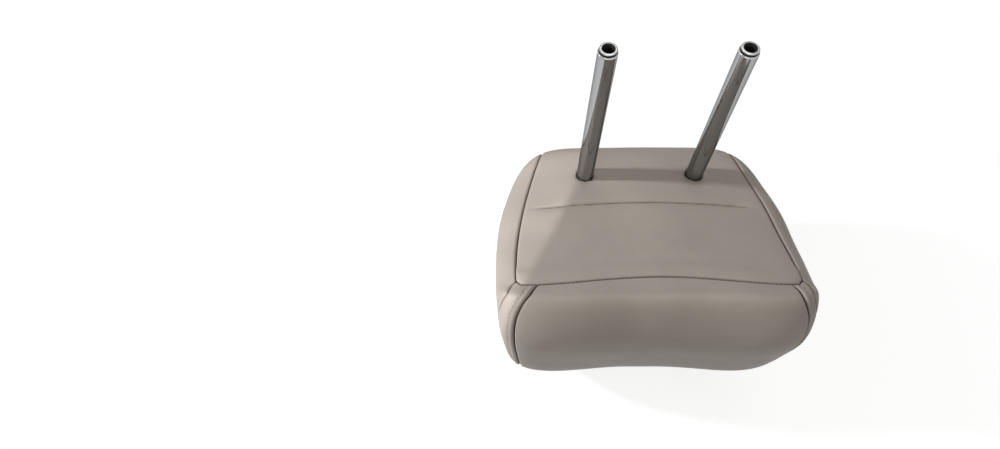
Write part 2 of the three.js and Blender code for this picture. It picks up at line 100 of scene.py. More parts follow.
# %% Place the camera
def look(yaw, pitch, roll):
    """The camera's rotation from its heading, its tilt downwards and its lean, in degrees."""
    yaw, pitch, roll = (math.radians(v) for v in (yaw, pitch, roll))
    forward = Vector((math.sin(yaw) * math.cos(pitch), math.cos(yaw) * math.cos(pitch), -math.sin(pitch)))
    right = Vector((math.cos(yaw), -math.sin(yaw), 0))
    down = forward.cross(right)
    tilted = right * math.cos(roll) + down * math.sin(roll)
    below = down * math.cos(roll) - right * math.sin(roll)
    return Matrix((tilted, -below, -forward)).transposed()


CAMERA_PLACE = (-0.11318, -0.24175, 0.60190)

camera = bpy.data.objects.new("camera", bpy.data.cameras.new("camera"))
bpy.context.scene.collection.objects.link(camera)
camera.matrix_world = Matrix.Translation(CAMERA_PLACE) @ look(-1.006, 60.353, 1.032).to_4x4()
camera.data.sensor_width = 36
camera.data.lens = 23.04
camera.data.clip_start = 0.01
bpy.context.scene.camera = camera
print("camera height above the floor:", round(camera.location.z, 3), "m")

# %% [markdown]
# ## The skin of the cushion
#
# All the leather lies on one smooth skin. Seen from the side the skin is a closed outline, drawn
# through the places where something happens: the seams, the rear edge, the line of the posts.
# A station counts along that outline. An angle says how far out a point is, from 0 in the middle
# to a quarter turn at the flat side. With these two numbers a seam is a simple line, so each
# leather panel can be cut as a flat grid and then laid on the skin. The cushion could also be
# sculpted from a box, but then every seam would have to be drawn on it afterwards.

# %% The outline seen from the side, in millimetres
OUTLINE = {
    "crown seam": (83, 22), "lower back": (98, 60), "middle back": (104, 100), "upper back": (102, 125),
    "rear edge": (94, 146), "post line": (63, 150.5), "closing line": (30, 156), "middle": (0, 159.5),
    "front underside": (-28, 168), "front seam": (-49.5, 175), "face shoulder": (-62, 179),
    "upper face": (-80, 149), "middle face": (-79, 108), "lower face": (-76, 66), "crown roll": (-48, 22),
    "crown front": (-12, -2), "crown back": (40, -2),
}
STATION = {name: i for i, name in enumerate(OUTLINE)}
COUNT = len(OUTLINE)
FRONT, CLOSING = STATION["front seam"], STATION["closing line"]
# The middle of the cushion, from which the outline is shrunk to make the cross-sections.
HEART = np.array([0.0, 90.0])


def outline_table(per_station=64, softening=0.11):
    """A closed curve through the outline's points, then softened so that its bends change gently."""
    p = np.array(list(OUTLINE.values()), float)
    before, after, beyond = np.roll(p, 1, 0), np.roll(p, -1, 0), np.roll(p, -2, 0)
    step = lambda a, b: np.sqrt(np.linalg.norm(b - a, axis=1))[:, None]
    d0, d1, d2 = step(before, p), step(p, after), step(after, beyond)
    leave = ((p - before) / d0 - (after - before) / (d0 + d1) + (after - p) / d1) * d1
    arrive = ((after - p) / d1 - (beyond - p) / (d1 + d2) + (beyond - after) / d2) * d1
    t = (np.arange(per_station) / per_station)[None, :, None]
    p, after, leave, arrive = (a[:, None, :] for a in (p, after, leave, arrive))
    first_bend = 3 * (after - p) - 2 * leave - arrive
    second_bend = 2 * (p - after) + leave + arrive
    curve = p + leave * t + first_bend * t**2 + second_bend * t**3
    curve = curve.reshape(-1, 2)
    n = len(curve)
    offsets = np.minimum(np.arange(n), n - np.arange(n)) / per_station
    kernel = np.exp(-0.5 * (offsets / softening) ** 2)
    kernel /= kernel.sum()
    return np.real(np.fft.ifft(np.fft.fft(curve, axis=0) * np.fft.fft(kernel)[:, None], axis=0))


TABLE = outline_table()


def on_outline(station):
    """The outline's point at any station, blended smoothly between the entries of the table."""
    where = np.mod(station, COUNT) * (len(TABLE) / COUNT)
    low = np.floor(where).astype(int) % len(TABLE)
    t = (where - np.floor(where))[..., None]
    a, b, c, d = (TABLE[(low + k) % len(TABLE)] for k in (-1, 0, 1, 2))
    return b + 0.5 * t * (c - a + t * (2 * a - 5 * b + 4 * c - d + t * (3 * (b - c) + d - a)))


def outline_length(first, last, count=500):
    """Millimetres along the outline from one station to another."""
    points = on_outline(np.linspace(first, last, count))
    return np.linalg.norm(np.diff(points, axis=0), axis=1).sum()


print("outline length:", round(outline_length(0, COUNT)), "mm")

# %% How wide the cushion is
def smoothstep(x, low, high):
    """0 below low, 1 above high, and an even rise between them."""
    t = np.clip((x - low) / (high - low), 0, 1)
    return t * t * (3 - 2 * t)


def half_width(y, z):
    """Half the cushion's width. It narrows towards the rear edge and towards the crown."""
    rear = np.clip((y + 60) / 155, 0, 1.05)
    crown = np.maximum(0, 1 - z / 160) ** 1.6
    fullness = 2 * np.sin(np.pi * np.minimum(1, rear)) ** 2
    return 121 - 27 * rear**3.2 + fullness - 20 * crown


print("half width at the front of the face:", round(float(half_width(-80, 110)), 1), "mm")

# %% From station and angle to a point
# With 2 the cross-section would be an ellipse. The larger the number, the squarer it is.
SQUARENESS = 8


def arch_at(station, share):
    """How far back, in stations, the seam along the front edge is drawn."""
    near = np.exp(-(((station - FRONT) / 1.5) ** 2))
    corner = np.exp(-(((station - FRONT) / 0.6) ** 2)) * smoothstep(share, 0.84, 0.885)
    return 0.395 * near * np.maximum(0, 1 - (share / 0.85) ** 2) ** 2 + 0.25 * corner


def on_skin(station, angle):
    """Points in millimetres. The cross-section is a rounded rectangle with wings beside the face."""
    lean = np.abs(angle)
    s, c = np.sin(lean), np.maximum(0, np.cos(lean))
    reach = (s**SQUARENESS + c**SQUARENESS) ** (-1 / SQUARENESS)
    share = s * reach
    turn = np.mod(station - arch_at(station, share), COUNT)
    wing = 7.3 * np.sin(np.pi * np.clip((turn - FRONT) / 5.5, 0, 1)) ** 2 * smoothstep(share, 0.1, 0.8)
    spoke = on_outline(turn) - HEART
    length = np.linalg.norm(spoke, axis=-1)
    y, z = np.moveaxis(HEART + spoke * (c * reach * (length + wing) / length)[..., None], -1, 0)
    return np.stack([np.sign(angle) * share * half_width(y, z), y, z], -1)


def skin_normal(station, angle):
    """The outward direction at each place, from two short steps along the skin and across it."""
    step = 2e-3
    flat = np.abs(angle) > math.pi / 2 - 1e-3
    lean = np.where(flat, np.sign(angle) * (math.pi / 2 - 1e-3), angle)
    along = on_skin(station + step, lean) - on_skin(station - step, lean)
    across = on_skin(station, lean + step) - on_skin(station, lean - step)
    outwards = np.cross(along, across)
    outwards /= np.linalg.norm(outwards, axis=-1, keepdims=True)
    outwards[flat] = np.stack([np.sign(angle), angle * 0, angle * 0], -1)[flat]
    return outwards


def share_to_angle(share):
    """The angle at a share of the half width, from 0 in the middle to 1 at the flat side."""
    return np.arctan2(share, (1 - share**SQUARENESS) ** (1 / SQUARENESS))


def angle_to_share(angle):
    s, c = np.abs(np.sin(angle)), np.maximum(0, np.cos(angle))
    return s * (s**SQUARENESS + c**SQUARENESS) ** (-1 / SQUARENESS)


widest = on_skin(np.linspace(0, COUNT, 400), np.full(400, math.pi / 2))[:, 0].max()
print("half width of the skin at its sides:", round(float(widest), 1), "mm")

# %% [markdown]
# ## The seams
#
# The cover is sewn from a face, two gussets beside it, two sides, and an underside that runs on
# over the back. A seam could be drawn as a curve and projected on the cushion. Here it is written
# as an angle for each station instead, because then the panels on both of its sides meet exactly.
# A sewn cover never comes out quite the same on both sides, so the left and the right seams have
# numbers of their own. Each number was fitted to the photo and bends its seam at one place.

# %% Where the seams run
# The angle that the side seam reaches behind the gusset.
FULL_TURN = math.radians(54)


def face_edge(station, side=-1):
    """The deep seam beside the face. It leaves the front corner sideways and turns down in one sweep."""
    past = np.maximum(0, station - FRONT)
    if side < 0:
        narrowed = 0.055 * np.exp(-past / 0.45) + 0.09 * np.exp(-((past / 1.32) ** 4))
    else:
        narrowed = 0.03 * np.exp(-past / 0.25) + 0.067 * np.exp(-((past / 1.4) ** 6))
    opened = share_to_angle(0.884 + 0.008 * smoothstep(past, 0.8, 1.6) - narrowed)
    return opened + (share_to_angle(0.72) - opened) * smoothstep(station, COUNT - 1.4, COUNT)


def side_edge(station, side=-1):
    """The seam round each side. It comes in a little beside the posts and turns down over the gusset."""
    under = share_to_angle(0.875 - 0.048 * np.exp(-(((station - 5.4) / 1.9) ** 2)))
    past = np.maximum(0, station - arch_at(station, 1.0) - FRONT + 0.15)
    if side < 0:
        opening = 0.09 * (1 - np.exp(-past / 0.12)) + 0.19 * np.minimum(past, 2.1)
        opening = opening + 0.51 * smoothstep(past, 0.9, 2.2)
    else:
        opening = 0.16 * (1 - np.exp(-past / 0.1)) + 0.84 * smoothstep(past, 1.15, 2.5)
    closed_again = 1 - smoothstep(station, COUNT - 1.4, COUNT)
    return under + (FULL_TURN - under) * opening * closed_again


for word, side in (("left", -1), ("right", 1)):
    corner = np.degrees([side_edge(FRONT + 1.0, side), face_edge(FRONT + 1.0, side)])
    print("just under the corner the", word, "gusset runs from", *np.round(corner, 1), "degrees")

# %% [markdown]
# ## The foam presses against its cover
#
# Leather over foam is never the bare moulded shape. The seams hold it in, and between them the
# foam pushes it out into a soft crown. That could be sculpted by hand, but a cloth simulation
# finds it by itself. The cover and the foam are joined and remeshed into one even skin, the seams
# are pinned, and a little pressure swells the rest. Only how far each place swells is kept.

# %% Join the padded solids into one even skin
def deselect():
    """Leave edit mode and let go of everything, because an operator acts on all that is selected."""
    if bpy.context.object and bpy.context.object.mode != "OBJECT":
        bpy.ops.object.mode_set(mode="OBJECT")
    bpy.ops.object.select_all(action="DESELECT")


def select_only(obj):
    deselect()
    obj.select_set(True)
    bpy.context.view_layer.objects.active = obj


# The leather panels and the foam below them, which swell together.
PADDED = ["cover_face", "cover_underside", "cover_back", "cover_side_left", "cover_side_right",
          "cover_gusset_left", "cover_gusset_right", "foam_body"]


def even_skin(voxel):
    """Copies of the padded solids, joined and remeshed into one closed skin with even faces."""
    deselect()
    for name in PADDED:
        piece = frame["nodes"][name].copy()
        piece.data = piece.data.copy()
        piece.parent = None
        for key in list(piece.keys()):
            del piece[key]
        bpy.context.scene.collection.objects.link(piece)
        piece.select_set(True)
        bpy.context.view_layer.objects.active = piece
    bpy.ops.object.join()
    form = bpy.context.object
    form.name = "swelling_form"
    form.data.remesh_voxel_size = voxel
    bpy.ops.object.voxel_remesh()
    # The pocket for the core leaves an inner shell, which is dropped.
    outermost = max(form.data.vertices, key=lambda v: v.co.z).index
    bpy.ops.object.mode_set(mode="EDIT")
    bpy.ops.mesh.select_all(action="DESELECT")
    bpy.ops.object.mode_set(mode="OBJECT")
    form.data.vertices[outermost].select = True
    bpy.ops.object.mode_set(mode="EDIT")
    bpy.ops.mesh.select_linked()
    bpy.ops.mesh.select_all(action="INVERT")
    bpy.ops.mesh.delete(type="VERT")
    bpy.ops.object.mode_set(mode="OBJECT")
    return form


def corners_of(obj):
    """An object's vertices as rows of x, y and z."""
    places = np.empty(len(obj.data.vertices) * 3)
    obj.data.vertices.foreach_get("co", places)
    return places.reshape(-1, 3)


form = even_skin(0.005)
rest = corners_of(form) / MM
print("even skin:", len(rest), "points")

# %% Pin it along the seams and let it swell
def seam_lines():
    """Points along every seam, in millimetres, close enough together to measure a distance to."""
    side = np.linspace(0, COUNT, 900)
    face = np.linspace(FRONT, COUNT, 500)
    across = np.linspace(-1, 1, 260)
    lines = [on_skin(np.full(260, float(s)), across * side_edge(float(s))) for s in (0, FRONT)]
    for sign in (-1, 1):
        lines += [on_skin(side, sign * side_edge(side, sign)), on_skin(face, sign * face_edge(face, sign))]
    return np.concatenate(lines)


def tree_of(points):
    """A search tree that finds the nearest of many points quickly."""
    tree = KDTree(len(points))
    for i, point in enumerate(points):
        tree.insert(point, i)
    tree.balance()
    return tree


MOST_SWELLING = 3.0


def swell(form, frames=20, pressure=4.0):
    """How far each point moves outwards. The seams and the crown that it stands on are held."""
    seams = tree_of(seam_lines())
    away = np.array([seams.find(point)[2] for point in rest])
    # Held fast within 3 mm of a seam, and quite free from 26 mm on.
    hold = 1 - smoothstep(away, 3.0, 26.0)
    hold = np.maximum(hold, 1 - smoothstep(rest[:, 2], 1.0, 10.0))
    group = form.vertex_groups.new(name="seams")
    for level in range(0, 11):
        near = np.nonzero(np.round(hold * 10) == level)[0].tolist()
        group.add(near, level / 10, "REPLACE")
    cloth = form.modifiers.new("cloth", "CLOTH")
    cloth.settings.use_pressure = True
    cloth.settings.uniform_pressure_force = pressure
    cloth.settings.effector_weights.gravity = 0
    cloth.settings.vertex_group_mass = "seams"
    cloth.settings.quality = 6
    cloth.settings.tension_stiffness = 25
    cloth.settings.compression_stiffness = 25
    for number in range(1, frames + 1):
        bpy.context.scene.frame_set(number)
    select_only(form)
    bpy.ops.object.modifier_apply(modifier="cloth")
    bpy.context.scene.frame_set(1)
    moved = corners_of(form) / MM - rest
    normals = np.empty(len(rest) * 3)
    form.data.vertices.foreach_get("normal", normals)
    return (moved * normals.reshape(-1, 3)).sum(1)


print("points along the seams:", len(seam_lines()))

# %% Even the swelling out and keep it
def evened_out(values, tree, count=48):
    """Each value averaged with its neighbours, so that no flat facet of the form shows."""
    out = np.empty(len(values))
    for i, point in enumerate(rest):
        near = tree.find_n(point, count)
        weights = np.array([math.exp(-d * d / 120) for _, _, d in near])
        out[i] = (weights * values[[k for _, k, _ in near]]).sum() / weights.sum()
    return out


rest_tree = tree_of(rest)
swollen = evened_out(np.clip(swell(form), 0.0, MOST_SWELLING), rest_tree)
bpy.data.objects.remove(form)
most, mean = round(float(swollen.max()), 2), round(float(swollen.mean()), 2)
print("the foam swells by up to", most, "mm, on average", mean, "mm")

EVEN_SWELLING = 1.2


def swelling_at(points):
    """The swelling near each point, averaged over its neighbours so that no facet of the form shows."""
    if not swollen.any():
        return np.full(len(points), EVEN_SWELLING)
    out = np.empty(len(points))
    for i, point in enumerate(points):
        near = rest_tree.find_n(point, 10)
        weights = np.array([1 / (4 + d * d) for _, _, d in near])
        out[i] = (weights * swollen[[k for _, k, _ in near]]).sum() / weights.sum()
    return out


middle_of_face = on_skin(np.array([float(STATION["middle face"])]), np.zeros(1))
print("in the middle of the face it swells by", round(float(swelling_at(middle_of_face)[0]), 2), "mm")

# %% [markdown]
# ## Cutting a leather panel
#
# A real panel is cut flat from the hide, sewn to its neighbours with the edges turned in, and
# pulled over the foam. The same is done here: a flat grid for each panel, with a UV map like a
# cut piece, goes point by point to its place on the skin. A plane could also be shrinkwrapped
# on the cushion, but its edges would end raggedly. With rows that follow the seams, they can
# crowd together where the leather rolls over and goes down into the groove.

# %% Helpers for rows and rolled edges
def even_stations(first, last, count):
    """Stations between two others, the same distance apart along the outline."""
    fine = np.linspace(first, last, 4000)
    way = np.concatenate([[0], np.cumsum(np.linalg.norm(np.diff(on_outline(fine), axis=0), axis=1))])
    return np.interp(np.linspace(0, way[-1], count), way, fine)


def along_speed(station, angle, h=0.01):
    """Millimetres on the skin for one station."""
    return np.linalg.norm(on_skin(station + h, angle) - on_skin(station - h, angle), axis=-1) / (2 * h)


def across_speed(station, angle, h=0.004):
    """Millimetres on the skin for one radian of angle."""
    return np.linalg.norm(on_skin(station, angle + h) - on_skin(station, angle - h), axis=-1) / (2 * h)


def rolled_edge(reach, sink, steps, wall, gap):
    """How far from the seam each crowded row lies, and how deep, from the bottom of the groove upwards."""
    turn = np.linspace(0, math.pi / 2, steps + 1)
    away = gap + reach * (1 - np.cos(turn))
    depth = sink * (1 - np.sin(turn))
    return np.concatenate([[gap], away]), np.concatenate([[sink + wall], depth])


def spread_rows(first, last, middle_count):
    """Kinds of row: distances from the first edge, shares of the middle, distances from the last edge."""
    first_away, first_depth = first
    last_away, last_depth = last
    middle = np.linspace(0, 1, middle_count)[1:-1]
    kind = np.concatenate([np.zeros(len(first_away)), np.ones(len(middle)), np.full(len(last_away), 2)])
    value = np.concatenate([first_away, middle, last_away[::-1]])
    depth = np.concatenate([first_depth, middle * 0, last_depth[::-1]])
    return kind, value, depth


# The leather beside a plain seam, and beside the deep seam of the face.
plain_seam = rolled_edge(2.6, 2.0, steps=8, wall=0.8, gap=0.22)
deep_seam = rolled_edge(2.0, 2.2, steps=9, wall=1.1, gap=0.4)
print("rows in a plain seam:", len(plain_seam[0]), "and in the deep seam:", len(deep_seam[0]))

# %% From rows to stations, angles and depths
def between(kind, value, low, high, low_speed, high_speed, low_reach, high_reach, middle):
    """A grid coordinate for each row kind: near the low edge, near the high edge, or shared out between."""
    start, end = low + low_reach / low_speed, high - high_reach / high_speed
    out = np.where(kind == 0, low + value / low_speed, high - value / high_speed)
    return np.where(kind == 1, start + (end - start) * middle, out)


def crowded(share, centre, reach, closeness=0.3):
    """Pull shares together round a centre, so that the rows there can draw a sharp crease."""
    d = share - centre
    return centre + d * (closeness + (1 - closeness) * smoothstep(np.abs(d), 0, reach))


def panel_points(ends, low_edge, high_edge, low, high, columns, first, last, rows, crowd=None):
    """Grids in rows and columns: how far along the outline, how far across it, and how deep."""
    row_kind, row_value, row_depth = spread_rows(first, last, rows)
    if crowd:
        row_value = np.where(row_kind == 1, crowded(row_value, *crowd), row_value)
    column_kind, column_value, column_depth = spread_rows(low, high, columns)
    even = even_stations(ends[0], ends[1], 400)
    even_share = (even - ends[0]) / (ends[1] - ends[0])
    row_share = np.interp(row_value, np.linspace(0, 1, 400), even_share)
    column_share = np.where(column_kind == 0, 0, np.where(column_kind == 2, 1, column_value))
    lean = lambda station: low_edge(station) + (high_edge(station) - low_edge(station)) * column_share
    start, end = (np.full(len(column_kind), float(station)) for station in ends)
    start_speed, end_speed = along_speed(start, lean(start)), along_speed(end, lean(end))
    along = between(row_kind[:, None], row_value[:, None], start[None], end[None], start_speed[None],
                    end_speed[None], first[0].max(), last[0].max(), row_share[:, None])
    low_line, high_line = low_edge(along), high_edge(along)
    low_speed, high_speed = across_speed(along, low_line + 1e-4), across_speed(along, high_line - 1e-4)
    across = between(column_kind[None], column_value[None], low_line, high_line, low_speed, high_speed,
                     low[0].max(), high[0].max(), column_value[None])
    deepest = max(row_depth.max(), column_depth.max())
    deep = np.minimum(deepest, np.hypot(row_depth[:, None], column_depth[None]))
    return along, across, deep

# %% [markdown]
# ## Laying the panel and giving it thickness
#
# Leather that is pulled over foam never lies perfectly even. Each point of the grid goes to the
# skin, out by the swelling, and up or down by a few broad waves. How deep it lies in a seam or a
# crease is kept as an attribute called fold, so that the finish can paint shade there. A Solidify
# modifier then gives the leather its thickness inwards, which is simpler than a second grid.

# %% Lay a panel on the skin
# How far the leather stands off the moulded skin before the foam swells it.
REST = 0.4

# Ten broad waves in directions of their own. The fixed seed gives the same ones every time.
rng = np.random.default_rng(7)
WAVES = [(rng.normal(size=3) / rng.uniform(18, 40), rng.uniform(0, 6.28)) for _ in range(10)]


def unevenness(points):
    """A broad, shallow unevenness of hand-upholstered leather, about a third of a millimetre."""
    return sum(np.sin(points @ k + phase) for k, phase in WAVES) * 0.07


def lay(name, along, across, deep, relief=None):
    """A flat grid is added, and each of its points goes to its place on the swollen skin."""
    deselect()
    rows, columns = along.shape
    bpy.ops.mesh.primitive_grid_add(x_subdivisions=rows - 1, y_subdivisions=columns - 1, size=2,
                                    calc_uvs=True)
    panel = bpy.context.object
    panel.name = panel.data.name = name
    flat = corners_of(panel)
    row = np.rint((flat[:, 0] + 1) / 2 * (rows - 1)).astype(int)
    column = np.rint((flat[:, 1] + 1) / 2 * (columns - 1)).astype(int)
    base, outwards = on_skin(along, across), skin_normal(along, across)
    flat_points = base.reshape(-1, 3)
    surface = swelling_at(flat_points) + REST + unevenness(flat_points)
    shaped = relief(along, across, base) if relief else 0 * deep
    # Deeper than 1.2 mm down in a seam, the leather stays where the seam holds it.
    depth = deep + shaped - surface.reshape(along.shape) * np.clip(1 - deep / 1.2, 0, 1)
    laid = base - outwards * depth[..., None]
    # Nothing goes through the ground that the headrest stands on.
    laid[..., 2] = np.maximum(laid[..., 2], np.minimum(deep, 1.5))
    panel.data.vertices.foreach_set("co", (laid[row, column] * MM).ravel())
    panel.data.update()
    # The fold attribute is a mask for painted shade: near 1 deep in a seam, the crease or a post hole, and 0
    # on the open leather.
    fold = panel.data.attributes.new("fold", "FLOAT", "POINT")
    fold.data.foreach_set("value", smoothstep(deep + 0.4 * shaped, 0.2, 2.2)[row, column])
    return panel


print("the leather is about", round(float(np.abs(unevenness(rest)).max()), 2), "mm uneven")

# %% Give a panel its thickness
def finish_panel(panel, thickness=1.1):
    """Merge the points that fall together, give the leather its thickness and shade it smooth."""
    select_only(panel)
    bpy.ops.object.mode_set(mode="EDIT")
    bpy.ops.mesh.select_all(action="SELECT")
    bpy.ops.mesh.remove_doubles(threshold=2e-6)
    bpy.ops.object.mode_set(mode="OBJECT")
    solid = panel.modifiers.new("leather", "SOLIDIFY")
    solid.thickness = thickness * MM
    solid.offset = -1
    bpy.ops.object.modifier_apply(modifier="leather")
    bpy.ops.object.shade_smooth_by_angle(angle=math.radians(50))
    panel.data.calc_loop_triangles()
    print(panel.name, len(panel.data.loop_triangles), "triangles")
    return panel

# %% [markdown]
# ## The face panel
#
# The face is one panel, slightly hollow across, that rolls over into the deep seams at both
# sides, into the stitched seam along the front edge, and into the seam under the crown. A single
# grid is enough for it, because its four edges are four seams.

# %% Lay the face
# Millimetres between the points of a panel.
PITCH = 1.3
face_length = outline_length(FRONT, COUNT)
grid = panel_points((FRONT, COUNT), lambda s: -face_edge(s), lambda s: face_edge(s, 1), deep_seam, deep_seam,
                    int(240 / PITCH), plain_seam, plain_seam, int(face_length / PITCH))
leather_face = finish_panel(lay("leather_face", *grid))
print("the face is", round(float(face_length)), "mm long over its curve")

# %% [markdown]
# ## The underside and the back
#
# Turned over on its crown, the headrest shows its underside, where the posts come out. This
# leather runs from the front seam past the posts and down the back. Along one line a strip sewn
# to its inside is hooked below, which pulls the leather down into a soft crease that fades out
# towards both ends. Round each post the leather dips into its hole. The crease could be painted
# or left to a bump map, but only real depth catches the light, so rows crowd together there, and
# painted shade from the fold attribute darkens it further.

# %% Lay the underside and the back
# Where the posts stand, and the radius of the holes in the leather. The posts' own is 7 mm.
POSTS = [(-46.0, 63.0), (46.0, 63.0)]
HOLE = 7.9


def underside_relief(along, across, base):
    """How deep the crease and the dips at the posts go, and how far the front edge bulges up."""
    share = angle_to_share(across)
    closing_speed = along_speed(np.full(along.shape, float(CLOSING)), across)
    away = (along - CLOSING + 0.04 - 0.19 * share**2) * closing_speed
    fade = 1 - smoothstep(share, 0.62, 0.83)
    crease = 2.0 * np.exp(-np.abs(away) / 0.7) + 0.9 * np.exp(-((away / 5.0) ** 2))
    front_speed = along_speed(np.full(along.shape, float(FRONT) - 0.2), across)
    to_front = (FRONT - along) * front_speed
    roll = 0.9 * np.exp(-(((to_front - 9.0) / 5.5) ** 2))
    above = smoothstep(base[..., 2], 130, 140)
    near = [np.hypot(base[..., 0] - x, base[..., 1] - y) - HOLE for x, y in POSTS]
    dip = sum(1.3 * np.exp(-np.maximum(0, d) / 1.6) for d in near)
    return crease * fade + dip * above - roll


back_length = outline_length(0, FRONT)
crease_share = outline_length(0, CLOSING) / back_length
grid = panel_points((0, FRONT), lambda s: -side_edge(s), lambda s: side_edge(s, 1), plain_seam, plain_seam,
                    int(220 / PITCH), plain_seam, plain_seam, int(back_length / PITCH),
                    (crease_share, 24 / back_length))
leather_underside = lay("leather_underside", *grid, relief=underside_relief)

# %% [markdown]
# ## The post holes
#
# Round each post the leather has a hole whose edge is turned in. A boolean would cut a clean
# circle, but it would leave slivers round it. So the points inside the hole are deleted, the rim
# that is left is moved onto a circle, and then it is extruded down in three steps.

# %% Open the two post holes and turn their edges in
# The underside near the posts lies above this height, and the crown far below it.
UNDERSIDE_FROM = 130


def open_hole(panel, x, y, radius, hem=4.0):
    """Cut the leather away round a post, make the rim round, and turn it down into the hole."""
    select_only(panel)
    places = corners_of(panel) / MM
    reach = np.hypot(places[:, 0] - x, places[:, 1] - y)
    inside = (reach < radius) & (places[:, 2] > UNDERSIDE_FROM)
    bpy.ops.object.mode_set(mode="EDIT")
    bpy.ops.mesh.select_mode(type="VERT")
    bpy.ops.mesh.select_all(action="DESELECT")
    bpy.ops.object.mode_set(mode="OBJECT")
    panel.data.vertices.foreach_set("select", inside)
    bpy.ops.object.mode_set(mode="EDIT")
    bpy.ops.mesh.delete(type="VERT")
    bpy.ops.mesh.select_all(action="DESELECT")
    bpy.ops.mesh.select_non_manifold(extend=False)
    bpy.ops.object.mode_set(mode="OBJECT")
    places = corners_of(panel) / MM
    chosen = np.empty(len(places), bool)
    panel.data.vertices.foreach_get("select", chosen)
    reach = np.hypot(places[:, 0] - x, places[:, 1] - y)
    # The open edges are this rim and the outer edge of the whole panel, which is left out.
    rim = chosen & (reach < radius + 6) & (places[:, 2] > UNDERSIDE_FROM)
    places[rim, :2] = [x, y] + (places[rim, :2] - [x, y]) * (radius / reach[rim])[:, None]
    panel.data.vertices.foreach_set("co", (places * MM).ravel())
    panel.data.vertices.foreach_set("select", rim)
    bpy.ops.object.mode_set(mode="EDIT")
    bpy.ops.mesh.select_mode(type="VERT")
    for drop, inward in ((0.4, 0.975), (0.8, 0.97), (hem - 1.2, 1.0)):
        bpy.ops.mesh.extrude_region_move(TRANSFORM_OT_translate={"value": (0, 0, -drop * MM)})
        bpy.ops.transform.resize(value=(inward, inward, 1), center_override=(x * MM, y * MM, 0.145))
    bpy.ops.object.mode_set(mode="OBJECT")
    print("post hole at", x, "mm has", int(rim.sum()), "points round its edge")


for x, y in POSTS:
    open_hole(leather_underside, x, y, HOLE)
finish_panel(leather_underside)

# %% [markdown]
# ## The gussets
#
# A gusset is the strip between the face and each side. Its inner edge is rolled over a cord, so
# it stands up as a soft bead beside the dark seam, and a line of stitches holds the bead down.
# The bead could be a bevelled curve laid along the seam, but then a joint would show beside it.
# So it is raised from the same grid as the strip, whose columns are a little closer together.

# %% Lay the gussets
STITCH_LINE = 6.2


def gusset_relief(sign):
    """The relief of one gusset: its bead, and the shallow line that the stitches pull in."""
    def relief(along, across, base):
        inner = face_edge(along, sign)
        away = np.abs(np.abs(across) - inner) * across_speed(along, inner)
        ends = smoothstep(along, FRONT, FRONT + 0.35)
        ends = ends * (1 - smoothstep(along, COUNT - 1.2, COUNT - 0.5))
        bead = -0.3 * np.exp(-(((away - 2.6) / 1.4) ** 2))
        sewn = 0.3 * np.exp(-(((away - STITCH_LINE) / 0.6) ** 2))
        return (bead + sewn) * ends
    return relief


gussets = []
for sign, word in ((-1, "left"), (1, "right")):
    if sign < 0:
        low, high, rolls = (lambda s: -side_edge(s)), (lambda s: -face_edge(s)), (plain_seam, deep_seam)
    else:
        low, high, rolls = (lambda s: face_edge(s, 1)), (lambda s: side_edge(s, 1)), (deep_seam, plain_seam)
    grid = panel_points((FRONT, COUNT), low, high, *rolls, int(40 / min(PITCH, 1.0)), plain_seam, plain_seam,
                        int(face_length / PITCH))
    gussets.append(finish_panel(lay("leather_gusset_" + word, *grid, relief=gusset_relief(sign))))

# %% [markdown]
# ## The sides
#
# Each side is one panel whose seam runs the whole way round it. Its grid closes into a ring, and
# its innermost column shrinks to a point in the middle of the side, where it is flat. A filled
# outline would be quicker, but its faces would be long slivers that can't follow the swelling.

# %% Lay the sides
around = outline_length(0, COUNT, 900)


def side_points(sign, rows, columns):
    """Rows go round the side, columns go from its seam to the middle."""
    away, sunk = plain_seam
    stations = even_stations(0, COUNT, rows)
    edge = side_edge(np.mod(stations, COUNT), sign)
    speed = across_speed(stations, edge)
    start = edge + away.max() / speed
    shares = np.linspace(0, 1, columns)[1:] ** 0.9
    near = edge[:, None] + away[None] / speed[:, None]
    far = start[:, None] + (math.pi / 2 - start)[:, None] * shares[None]
    across = np.concatenate([near, far], 1)
    deep = np.concatenate([sunk, shares * 0])[None] + 0 * across
    along = np.repeat(stations[:, None], across.shape[1], 1)
    if sign < 0:
        return along, -across[:, ::-1], deep[:, ::-1]
    return along, across, deep


sides = []
for sign, word in ((-1, "left"), (1, "right")):
    grid = side_points(sign, int(around / PITCH), int(85 / PITCH))
    sides.append(finish_panel(lay("leather_side_" + word, *grid)))

# %% [markdown]
# ## Stitches
#
# A stitch is a short piece of thread that bends down into the leather at both ends. It is shaped
# once from a small ball, then copied along the line with its own mesh each time, turned so that
# it follows the seam, and all the copies are joined into one piece of stitching. An array along
# a curve would be less work, but it would twist the stitches where the seam bends two ways.

# %% Shape one stitch and copy it along a line
def one_stitch(length, width):
    """A long, slightly flattened ball with few faces, because there are hundreds of them."""
    deselect()
    bpy.ops.mesh.primitive_uv_sphere_add(segments=8, ring_count=6, radius=0.5)
    stitch = bpy.context.object
    stitch.rotation_euler = (0, math.pi / 2, 0)
    bpy.ops.object.transform_apply(rotation=True)
    stitch.scale = (length * MM, width * MM, width * 0.8 * MM)
    bpy.ops.object.transform_apply(scale=True)
    bpy.ops.object.shade_smooth()
    return stitch


